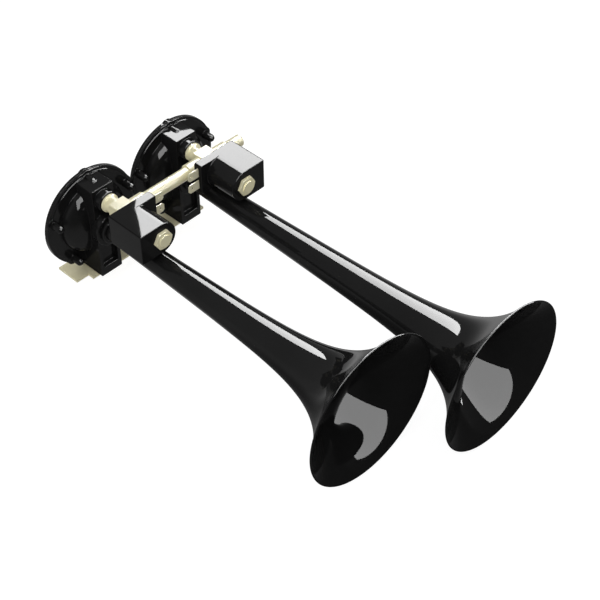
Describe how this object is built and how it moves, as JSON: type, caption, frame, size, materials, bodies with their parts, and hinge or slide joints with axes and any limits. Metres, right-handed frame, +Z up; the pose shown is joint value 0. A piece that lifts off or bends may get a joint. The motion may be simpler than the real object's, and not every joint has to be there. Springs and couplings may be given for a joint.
{
  "type": "truck air horn",
  "caption": "Twin-trumpet diaphragm air horn on a base plate, with a short and a long trumpet, a solenoid valve beside each throat and a shared air tube.",
  "frame": {"origin": "midway between the two mounting holes, on the underside of the base plate", "axes": "+X to the right, towards the air inlet, +Y towards the diaphragm covers with the bells facing -Y, +Z up"},
  "size_m": [0.206, 0.3507, 0.1206],
  "materials": {
    "black_moulding": "high gloss",
    "cream_moulding": "gloss",
    "cream_plate": "gloss",
    "cream_blade": "gloss",
    "bright_steel": "satin",
    "seal_rubber": "matte",
    "bobbin_moulding": "matte",
    "copper_wire": "satin"
  },
  "bodies": {
    "horn": {"base_plate": "cream_plate", "foot_screws": "bright_steel", "manifold_tube": "cream_moulding", "inlet_tube": "cream_moulding", "tube_seals": "seal_rubber", "short_front_housing": "black_moulding", "short_rear_cover": "black_moulding", "short_cover_screws": "bright_steel", "short_diaphragm": "bright_steel", "short_gasket": "seal_rubber", "short_trumpet": "black_moulding", "short_bell": "black_moulding", "short_valve_body": "cream_moulding", "short_inlet_seal": "seal_rubber", "short_armature_tube": "bright_steel", "short_armature_seal": "seal_rubber", "short_plunger_spring": "bright_steel", "short_coil_case": "black_moulding", "short_coil_bobbin": "bobbin_moulding", "short_coil_winding": "copper_wire", "short_terminals": "cream_blade", "short_coil_nut": "cream_moulding", "long_front_housing": "black_moulding", "long_rear_cover": "black_moulding", "long_cover_screws": "bright_steel", "long_diaphragm": "bright_steel", "long_gasket": "seal_rubber", "long_trumpet": "black_moulding", "long_bell": "black_moulding", "long_valve_body": "cream_moulding", "long_inlet_seal": "seal_rubber", "long_armature_tube": "bright_steel", "long_armature_seal": "seal_rubber", "long_plunger_spring": "bright_steel", "long_coil_case": "black_moulding", "long_coil_bobbin": "bobbin_moulding", "long_coil_winding": "copper_wire", "long_terminals": "cream_blade", "long_coil_nut": "cream_moulding"},
    "short_armature": {"short_plunger": "bright_steel", "short_plunger_seal": "seal_rubber"},
    "long_armature": {"long_plunger": "bright_steel", "long_plunger_seal": "seal_rubber"}
  },
  "joints": [
    {"name": "short_valve", "type": "slide", "parent": "horn", "child": "short_armature", "axis": [0, -1, 0], "range_m": [0, 0.0014], "stiffness_N_per_m": 400, "springref_m": -0.004, "deforming": ["short_plunger_spring"]},
    {"name": "long_valve", "type": "slide", "parent": "horn", "child": "long_armature", "axis": [0, -1, 0], "range_m": [0, 0.0014], "stiffness_N_per_m": 400, "springref_m": -0.004, "deforming": ["long_plunger_spring"]}
  ]
}
